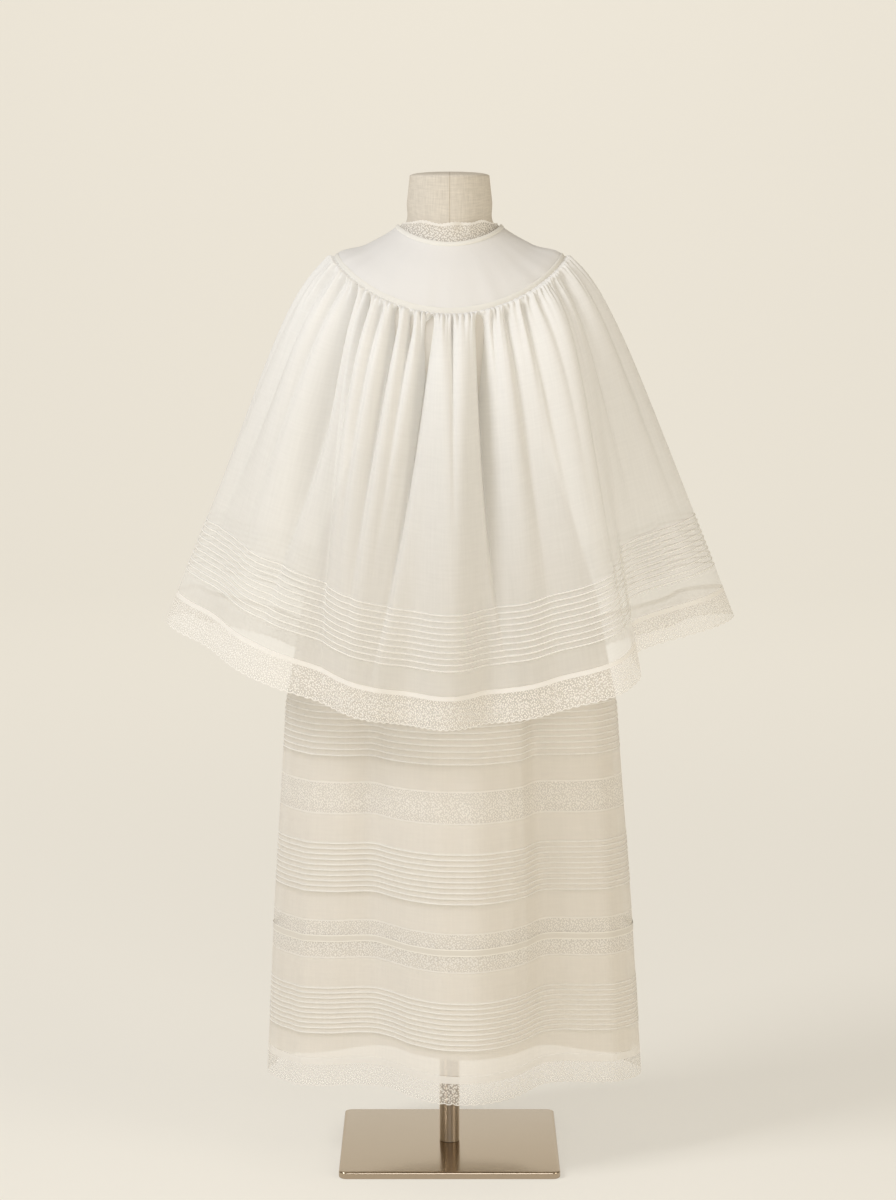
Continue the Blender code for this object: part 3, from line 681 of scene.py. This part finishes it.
def row_of_motifs(tree, across, down, pitch, depth):
    """Mask of rosettes in a row, with smaller ones between them."""
    found = None
    for shift, place, radius, petals in ROSETTES:
        turn = maths(tree, "ADD", maths(tree, "DIVIDE", across, pitch), shift)
        near = maths(tree, "SUBTRACT", maths(tree, "FRACT", turn), 0.5)
        du = maths(tree, "MULTIPLY", near, pitch)
        dv = maths(tree, "SUBTRACT", down, depth * place)
        square = maths(tree, "MULTIPLY_ADD", du, du, maths(tree, "MULTIPLY", dv, dv))
        far = maths(tree, "SQRT", square)
        angle = maths(tree, "ARCTAN2", dv, du)
        petal = maths(tree, "COSINE", maths(tree, "MULTIPLY", angle, petals))
        reach = maths(tree, "MULTIPLY_ADD", petal, 0.28 * radius * depth, radius * depth)
        inside = maths(tree, "LESS_THAN", far, reach)
        ring = maths(tree, "GREATER_THAN", far, 0.22 * radius * depth)
        mask = maths(tree, "MULTIPLY", inside, ring)
        found = mask if found is None else maths(tree, "MAXIMUM", found, mask)
    return found


def lace(name, pitch, depth, net=0.50, full=0.90, header=0.0040, foot=0.0010, knot=0.31):
    """Lace: knots of thread on a fine net, with rosettes between firm edges.

    net and full are the cover of the net and of the knots, header and foot the depths of
    the upper and the lower edge, and knot is the usual size of a knot in its mesh.
    """
    material, tree, shader, output = nodes_of(name)
    shader.inputs["Base Color"].default_value = (*LACE_COLOUR, 1.0)
    shader.inputs["Roughness"].default_value = 0.9
    shader.inputs["Specular IOR Level"].default_value = 0.15
    cut, across, down = cut_sockets(tree)
    bias = node(tree, "ShaderNodeMapping")
    bias.inputs["Rotation"].default_value = (0.0, 0.0, LACE_BIAS)
    bias.inputs["Scale"].default_value = (LACE_MESHES, LACE_MESHES, 1.0)
    link(tree, cut, bias.inputs[0])
    cells = node(tree, "ShaderNodeTexVoronoi", voronoi_dimensions="2D", feature="F1")
    cells.inputs["Scale"].default_value = 1.0
    cells.inputs["Randomness"].default_value = 0.85
    link(tree, bias.outputs[0], cells.inputs["Vector"])
    patches = node(tree, "ShaderNodeTexNoise", noise_dimensions="2D")
    patches.inputs["Scale"].default_value = 0.16
    link(tree, bias.outputs[0], patches.inputs["Vector"])
    # The knots are larger in the rosettes and vary from patch to patch
    motif = row_of_motifs(tree, across, down, pitch, depth)
    reach = maths(tree, "MULTIPLY_ADD", motif, 0.10, knot - 0.10)
    reach = maths(tree, "MULTIPLY_ADD", patches.outputs[0], 0.20, reach)
    thread = maths(tree, "LESS_THAN", cells.outputs["Distance"], reach)
    upper_edge = maths(tree, "LESS_THAN", down, header)
    lower_edge = maths(tree, "GREATER_THAN", down, depth - foot)
    firm = maths(tree, "MULTIPLY", maths(tree, "MAXIMUM", upper_edge, lower_edge), 0.94)
    cover = maths(tree, "MAXIMUM", maths(tree, "MULTIPLY_ADD", thread, full - net, net), firm)
    glow = node(tree, "ShaderNodeBsdfTranslucent")
    glow.inputs["Color"].default_value = (*LACE_COLOUR, 1.0)
    threads = mixed(tree, 0.3, shader.outputs[0], glow.outputs[0])
    bumped(tree, shader, cover, 0.5, 0.0006)
    see_through(tree, cover, threads, output)
    return material


def linen(name, colour):
    """Plain linen weave of the form's cover, with its centre back seam."""
    material, tree, shader, _ = nodes_of(name)
    shader.inputs["Roughness"].default_value = 0.95
    shader.inputs["Specular IOR Level"].default_value = 0.1
    cut, across, _ = cut_sockets(tree)
    weave = crossed_threads(tree, cut, LINEN_GRAINS)
    tone = two_tones(tree, weave, [c * 0.76 for c in colour], [c * 1.24 for c in colour])
    seam = maths(tree, "LESS_THAN", maths(tree, "ABSOLUTE", across), SEAM_WIDTH / 2)
    stitched = node(tree, "ShaderNodeMixRGB", blend_type="MULTIPLY")
    stitched.inputs[2].default_value = (0.80, 0.77, 0.72, 1.0)
    link(tree, seam, stitched.inputs[0])
    link(tree, tone, stitched.inputs[1])
    link(tree, stitched.outputs[0], shader.inputs["Base Color"])
    bumped(tree, shader, maths(tree, "SUBTRACT", weave, seam), 0.35, 0.0005)
    return material


def steel(name, colour, roughness, grain, stretch=0.0):
    """Finely brushed steel, whose highlights stretch across the brushing."""
    material, tree, shader, _ = nodes_of(name)
    shader.inputs["Base Color"].default_value = (*colour, 1.0)
    shader.inputs["Metallic"].default_value = 1.0
    shader.inputs["Anisotropic"].default_value = stretch
    shader.inputs["Anisotropic Rotation"].default_value = 0.25
    place = node(tree, "ShaderNodeTexCoord").outputs["Object"]
    stretched = node(tree, "ShaderNodeMapping")
    stretched.inputs["Scale"].default_value = grain
    link(tree, place, stretched.inputs[0])
    noise = node(tree, "ShaderNodeTexNoise")
    noise.inputs["Scale"].default_value = 1.0
    noise.inputs["Detail"].default_value = 4.0
    link(tree, stretched.outputs[0], noise.inputs["Vector"])
    spread = node(tree, "ShaderNodeMapRange")
    spread.inputs["To Min"].default_value = roughness - 0.06
    spread.inputs["To Max"].default_value = roughness + 0.08
    link(tree, noise.outputs[0], spread.inputs[0])
    link(tree, spread.outputs[0], shader.inputs["Roughness"])
    return material


def satin(name, width, edge):
    """Narrow woven ribbon: a soft sheen between two firm edges."""
    material, tree, shader, _ = nodes_of(name)
    shader.inputs["Roughness"].default_value = 0.5
    shader.inputs["Sheen Weight"].default_value = 0.3
    _, _, down = cut_sockets(tree)
    away = maths(tree, "ABSOLUTE", maths(tree, "SUBTRACT", down, width / 2))
    firm = maths(tree, "GREATER_THAN", away, width / 2 - edge)
    tone = two_tones(tree, firm, (0.63, 0.59, 0.51), (0.80, 0.765, 0.68))
    link(tree, tone, shader.inputs["Base Color"])
    return material


cape_cloth = cloth("cape_organdy", (0.862, 0.848, 0.805), (0.94, 0.34), through=0.16, run=(0.05, 0.35))
skirt_cloth = cloth("skirt_organdy", (0.858, 0.82, 0.748), (0.74, 0.66), through=0.20, run=(0.0, 0.30))
tuck_cloth = cloth("tuck_organdy", (0.91, 0.89, 0.83), None)
yoke_cloth = cloth("yoke_organdy", (0.88, 0.864, 0.828), None, slub=0.012, weave=0.04)
binding_cloth = cloth("binding_organdy", (0.885, 0.865, 0.80), None, slub=0.006, weave=0.03)
bodice_cloth = cloth("bodice_lawn", (0.84, 0.80, 0.72), (0.86, 0.86), run=(0.0, 0.2))
slip_cloth = cloth("slip_lawn", (0.85, 0.805, 0.71), (0.93, 0.93), run=(0.0, 0.6))
ribbon_cloth = satin("ribbon_satin", RIBBON_WIDTH, 0.0010)
form_linen = linen("form_linen", (0.60, 0.55, 0.465))
plate_steel = steel("plate_steel", (0.47, 0.385, 0.292), 0.15, (6.0, 900.0, 6.0))
pole_steel = steel("pole_steel", (0.80, 0.70, 0.57), 0.40, (700.0, 700.0, 3.0), stretch=0.92)


def form_cover():
    """The linen-covered form, from the cap on its neck to its underside."""
    phi = around_all(FORM_COLUMNS)
    rows = []
    for share, rise in CAP_RINGS:
        ring = on_form(phi, 0.0)
        ring[:, :2] *= share
        ring[:, 2] = FORM_RINGS[0].side + rise
        rows.append(ring)
    for level in np.linspace(0.0, len(FORM_RINGS) - 1.0, FORM_ROWS):
        rows.append(on_form(phi, level))
    lowest = rows[-1]
    for share, drop in UNDERSIDE_RINGS:
        ring = lowest.copy()
        ring[:, :2] *= share
        ring[:, 2] -= drop
        rows.append(ring)
    form = sheet_mesh("form_cover", rows, phi * FORM_GIRTH_RADIUS, lengths_down(rows), True, [form_linen])
    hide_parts("dress_form")


def stand_piece(name, replaced, mesh, finish, flat_ends):
    """One steel piece of the stand."""
    data = bpy.data.meshes.new(name)
    mesh.to_mesh(data)
    mesh.free()
    data.materials.append(finish)
    for face in data.polygons:
        face.use_smooth = not flat_ends or abs(face.normal.z) < 0.5
    piece = placed(name, data)
    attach(piece, "root")
    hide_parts(replaced)


def rounded_plate():
    """The square plate, with round corners and softened edges."""
    mesh = bmesh.new()
    bmesh.ops.create_cube(mesh, size=1.0)
    bmesh.ops.scale(mesh, vec=(PLATE_SIDE, PLATE_SIDE, PLATE_THICKNESS), verts=mesh.verts)
    bmesh.ops.translate(mesh, vec=(0.0, 0.0, PLATE_THICKNESS / 2), verts=mesh.verts)
    upright = [e for e in mesh.edges if abs(e.verts[0].co.z - e.verts[1].co.z) > 0.003]
    bmesh.ops.bevel(mesh, geom=upright, offset=PLATE_CORNER, segments=10, affect="EDGES", profile=0.5)
    level = [e for e in mesh.edges if abs(e.verts[0].co.z - e.verts[1].co.z) < 0.001]
    rims = [e for e in level if len(e.link_faces) == 2 and e.calc_face_angle(0.0) > 1.0]
    bmesh.ops.bevel(mesh, geom=rims, offset=PLATE_EDGE, segments=4, affect="EDGES", profile=0.5)
    stand_piece("base_cover", "base_plate", mesh, plate_steel, False)


def round_pole():
    """The pole, from the plate to the underside of the form."""
    mesh = bmesh.new()
    bmesh.ops.create_cone(
        mesh, cap_ends=True, segments=96, radius1=POLE_RADIUS, radius2=POLE_RADIUS, depth=POLE_LENGTH,
    )
    bmesh.ops.translate(mesh, vec=(0.0, 0.0, POLE_FOOT + POLE_LENGTH / 2), verts=mesh.verts)
    stand_piece("pole_cover", "pole", mesh, pole_steel, True)


def armhole_bite(level):
    """Half the angle that an armhole takes out of one side at a level of the form."""
    share = (level - ARMHOLE_MIDDLE) / ARMHOLE_REACH
    return ARMHOLE_ANGLE * math.sqrt(max(1.0 - share * share, 0.0))


def bodice_half(name, replaced, turn):
    """The back or the front of the bodice."""
    rows = []
    for level in np.linspace(*BODICE_LEVELS, BODICE_ROWS):
        reach = math.pi / 2 - armhole_bite(level) - SIDE_SEAM_ANGLE
        angles = turn + np.linspace(-reach, reach, BODICE_COLUMNS)
        rows.append(on_form(angles, level, BODICE_OUT))
    across = np.linspace(-BODICE_HALF_CUT, BODICE_HALF_CUT, BODICE_COLUMNS)
    piece = sheet_mesh(name, rows, across, lengths_down(rows), False, [bodice_cloth])
    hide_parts(replaced)


def neck_lace():
    """The standing lace round the neck."""
    phi = around_all(COLLAR_COLUMNS)
    shares = np.linspace(0.0, 1.0, 17)
    rows = [on_collar(phi, share) for share in shares]
    net = lace("neck_lace_net", 0.0145, COLLAR_DEPTH, net=0.42, header=0.001, foot=0.003, knot=0.33)
    across = phi * COLLAR_GIRTH_RADIUS
    neck = sheet_mesh("neck_lace_cloth", rows, across, shares * COLLAR_DEPTH, True, [net])
    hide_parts("neck_lace")


def yoke_angles(level, count):
    """Angles round the yoke, from one side of its front opening to the other."""
    half_width = between([ring.half_width for ring in FORM_RINGS], level)
    limit = math.pi - CAPE_OPENING_START / half_width
    return np.linspace(-limit, limit, count)


def yoke_sheet(name, replaced, levels, count, profile, finish, width, ripple=0.0):
    """One sheet on the yoke between two levels, with its relief down the profile."""
    rows = []
    top, bottom = levels
    for share, out in profile:
        level = top + (bottom - top) * share
        angles = yoke_angles(level, count)
        waves = np.sin(19 * angles + 0.5) + 0.7 * np.sin(31 * angles + 2.0)
        relief = out + ripple * share ** 1.5 * waves
        rows.append(moved(on_yoke, angles, level, LEVEL_STEP, relief))
    across = np.linspace(-width / 2, width / 2, count)
    piece = sheet_mesh(name, rows, across, lengths_down(rows), False, [finish])
    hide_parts(replaced)
    return piece


def yoke_and_strips():
    """The yoke, its neck binding and the piping of its gathered seam."""
    smooth = [(share, 0.0) for share in np.linspace(0.0, 1.0, 30)]
    rounded = []
    for share in np.linspace(0.0, 1.0, 11):
        rounded.append((share, STRIP_LIFT + STRIP_CROWN * math.sin(math.pi * share) ** 0.5))
    yoke = yoke_sheet("yoke_cloth", "cape_yoke", YOKE_LEVELS, 241, smooth, yoke_cloth, 0.46, YOKE_RIPPLE)
    binding = yoke_sheet(
        "neck_binding_cloth", "neck_binding", BINDING_LEVELS, 241, rounded, binding_cloth, 0.31,
    )
    piping = yoke_sheet("piping_cloth", "yoke_piping", PIPING_LEVELS, 361, rounded, binding_cloth, 0.62)


def cape_angles(length):
    """Angles round the cape, from one side of its front opening to the other."""
    opening = CAPE_OPENING_START + CAPE_OPENING_SPREAD * max(length, 0.0)
    limit = math.pi - opening / CAPE_OPENING_RADIUS
    return np.linspace(-limit, limit, CAPE_COLUMNS + 1)


def cape():
    """The gathered cape, with its pintucks above the lace."""
    plan = plain_rows(CAPE_SEAM_ROWS)
    plan += plain_rows(np.linspace(0.0175, 0.060, 12))
    plan += plain_rows(np.linspace(0.069, CAPE_TUCK_START - 0.006, 19))
    plan += tuck_rows(CAPE_TUCK_START, CAPE_TUCK_PITCH, 1)
    plan += plain_rows((*CAPE_FOOT_ROWS, CAPE_LACE_START - 2 * SEAM_GAP))
    rows = [moved(on_cape, cape_angles(row), row, ROW_STEP, relief) for row, relief, _ in plan]
    across = np.linspace(-CAPE_HALF_CUT, CAPE_HALF_CUT, CAPE_COLUMNS + 1)
    along = [row for row, _, _ in plan]
    piece = tucked_sheet("cape_cloth", rows, across, along, False, cape_cloth, plan)
    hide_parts("cape")


def cape_lace():
    """The scalloped lace on the hem of the cape."""
    rows = []
    along = []
    depth = CAPE_LENGTH - CAPE_LACE_START
    across = np.linspace(-CAPE_HALF_CUT, CAPE_HALF_CUT, CAPE_COLUMNS + 1)
    for share in np.linspace(0.0, 1.0, 15):
        length = CAPE_LACE_START + depth * share
        angles = cape_angles(length)
        row = moved(on_cape, angles, length, ROW_STEP, 0.0)
        low = on_cape(angles, length + 0.002) - on_cape(angles, length)
        low /= np.linalg.norm(low, axis=1)[:, None]
        rows.append(row + low * scallops(across, share)[:, None])
        along.append(depth * share)
    net = lace("cape_lace_net", 0.0260, depth, net=0.34, full=0.84, header=0.0045)
    piece = sheet_mesh("cape_lace_cloth", rows, across, along, False, [net])
    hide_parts("cape_lace")


def skirt_strip(name, replaced, top, bottom, before, tucks, after):
    """One strip of the skirt, with its pintucks between plain rows."""
    plan = plain_rows((top, *before))
    plan += tuck_rows(tucks[0], tucks[1], -1)
    plan += plain_rows((*after, bottom))
    phi = around_all(SKIRT_COLUMNS)
    rows = [moved(on_skirt, phi, height, ROW_STEP, relief) for height, relief, _ in plan]
    across = phi / (2 * math.pi) * SKIRT_CUT
    along = [top - height for height, _, _ in plan]
    piece = tucked_sheet(name, rows, across, along, True, skirt_cloth, plan)
    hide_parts(replaced)
    return piece


def skirt():
    """The three tucked strips of the skirt."""
    upper = skirt_strip(
        "skirt_upper_cloth", "skirt_upper", SKIRT_TOP, INSERTION_1[0] + SEAM_GAP,
        np.linspace(0.69, 0.475, 24), UPPER_TUCKS, (0.405, 0.398, 0.392),
    )
    middle = skirt_strip(
        "skirt_middle_cloth", "skirt_middle", INSERTION_1[1] - SEAM_GAP, INSERTION_2[0] + SEAM_GAP,
        (0.349, 0.343, 0.337, 0.331), MIDDLE_TUCKS, (0.271, 0.265, 0.258),
    )
    lower = skirt_strip(
        "skirt_lower_cloth", "skirt_lower", INSERTION_2[1] - SEAM_GAP, HEM_LACE_TOP + SEAM_GAP,
        (0.205, 0.199, 0.193, 0.187), LOWER_TUCKS, (0.130, 0.123, 0.117),
    )


def lace_band(name, replaced, above, top, bottom, motifs, scalloped, flat_width, **look):
    """One band of lace round the skirt."""
    depth = top - bottom
    phi = around_all(SKIRT_COLUMNS)
    across = phi / (2 * math.pi) * SKIRT_CUT
    rows = []
    along = []
    for share in np.linspace(0.0, 1.0, 13):
        row = moved(on_skirt, phi, top - depth * share, ROW_STEP, 0.0)
        if scalloped:
            row[:, 2] -= scallops(across, share)
        rows.append(row)
        along.append(depth * share)
    net = lace(name + "_net", SKIRT_CUT / motifs, depth, **look)
    piece = sheet_mesh(name, rows, across, along, True, [net])
    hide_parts(replaced)


def skirt_lace():
    """The two insertions of the skirt and the edging of its hem."""
    fine_net = dict(net=0.64, full=0.93, header=0.0016, foot=0.0016, knot=0.32)
    open_net = dict(net=0.30, full=0.82, header=0.0075, foot=0.0010, knot=0.33)
    lace_band(
        "insertion_upper_cloth", "insertion_upper", "skirt_upper",
        *INSERTION_1, 40, False, 1.0, **fine_net,
    )
    lace_band(
        "insertion_lower_cloth", "insertion_lower", "skirt_middle",
        *INSERTION_2, 44, False, 1.04, **fine_net,
    )
    lace_band(
        "hem_lace_cloth", "hem_lace", "skirt_lower",
        HEM_LACE_TOP - SEAM_GAP, SKIRT_HEM, 42, True, 1.08, **open_net,
    )


def ribbon():
    """The ribbon on the lower insertion."""
    phi = around_all(SKIRT_COLUMNS)
    heights = np.linspace(*RIBBON_BAND, 5)
    rows = [moved(on_skirt, phi, height, ROW_STEP, RIBBON_OUT) for height in heights]
    along = np.linspace(0.0, RIBBON_WIDTH, 5)
    piece = sheet_mesh("ribbon_cloth", rows, phi * RIBBON_GIRTH_RADIUS, along, True, [ribbon_cloth])
    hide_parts("ribbon")


def slip():
    """The plain slip inside the skirt."""
    phi = around_all(SKIRT_COLUMNS)
    heights = np.linspace(SKIRT_TOP, SLIP_HEM, 60)
    rows = [on_slip(phi, height) for height in heights]
    across = phi * SLIP_GIRTH_RADIUS
    piece = sheet_mesh("slip_cloth", rows, across, SKIRT_TOP - heights, True, [slip_cloth])
    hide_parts("slip")


def studio_sweep():
    """A pale floor that curves up into a plain wall."""
    profile = [(SWEEP_NEAR, 0.0), (SWEEP_START, 0.0)]
    for step in range(1, SWEEP_STEPS + 1):
        angle = math.pi / 2 * step / SWEEP_STEPS
        reach = SWEEP_START + SWEEP_RADIUS * math.sin(angle)
        profile.append((reach, SWEEP_RADIUS * (1 - math.cos(angle))))
    profile.append((SWEEP_START + SWEEP_RADIUS, SWEEP_HEIGHT))
    points = [(x, y, z) for y, z in profile for x in (-SWEEP_HALF_WIDTH, SWEEP_HALF_WIDTH)]
    faces = [(2 * k, 2 * k + 1, 2 * k + 3, 2 * k + 2) for k in range(len(profile) - 1)]
    mesh = bpy.data.meshes.new("studio_sweep")
    mesh.from_pydata(points, [], faces)
    mesh.polygons.foreach_set("use_smooth", [True] * len(faces))
    paper, _, shader, _ = nodes_of("sweep_paper")
    shader.inputs["Base Color"].default_value = (0.43, 0.405, 0.35, 1.0)
    shader.inputs["Roughness"].default_value = 1.0
    shader.inputs["Specular IOR Level"].default_value = 0.0
    shader.inputs["Emission Color"].default_value = (0.80, 0.775, 0.715, 1.0)
    shader.inputs["Emission Strength"].default_value = 0.56
    mesh.materials.append(paper)
    placed("studio_sweep", mesh)


def room_light():
    """Soft light from all round."""
    world = bpy.data.worlds.new("studio")
    bpy.context.scene.world = world
    world.use_nodes = True
    backdrop = world.node_tree.nodes["Background"]
    backdrop.inputs["Color"].default_value = (0.98, 0.85, 0.65, 1.0)
    backdrop.inputs["Strength"].default_value = 0.32


def softbox(box):
    """One rectangular lamp, turned to what it lights."""
    light = bpy.data.lights.new(box.name, "AREA")
    light.shape = "RECTANGLE"
    light.size, light.size_y = box.size
    light.energy = box.power
    light.color = box.colour
    lamp = placed(box.name, light)
    lamp.location = box.place
    direction = np.array(box.aim) - np.array(box.place)
    run = math.hypot(direction[0], direction[1])
    lamp.rotation_euler = (
        math.pi / 2 + math.atan2(direction[2], run),
        0.0,
        math.atan2(direction[1], direction[0]) - math.pi / 2,
    )


def photo_camera():
    """The camera at the photograph's angle."""
    eye = bpy.data.cameras.new("camera")
    eye.lens = CAMERA_LENS
    eye.sensor_width = CAMERA_SENSOR
    camera = placed("camera", eye)
    camera.location = CAMERA_PLACE
    camera.rotation_euler = (math.radians(90.0 - CAMERA_PITCH), 0.0, 0.0)
    bpy.context.scene.camera = camera


form_cover()
rounded_plate()
round_pole()
bodice_half("bodice_back_cloth", "bodice_back", 0.0)
bodice_half("bodice_front_cloth", "bodice_front", math.pi)
neck_lace()
yoke_and_strips()
cape()
cape_lace()
skirt()
skirt_lace()
ribbon()
slip()

studio_sweep()
room_light()
for box in SOFTBOXES:
    softbox(box)
photo_camera()
bpy.context.scene.view_settings.view_transform = "Standard"
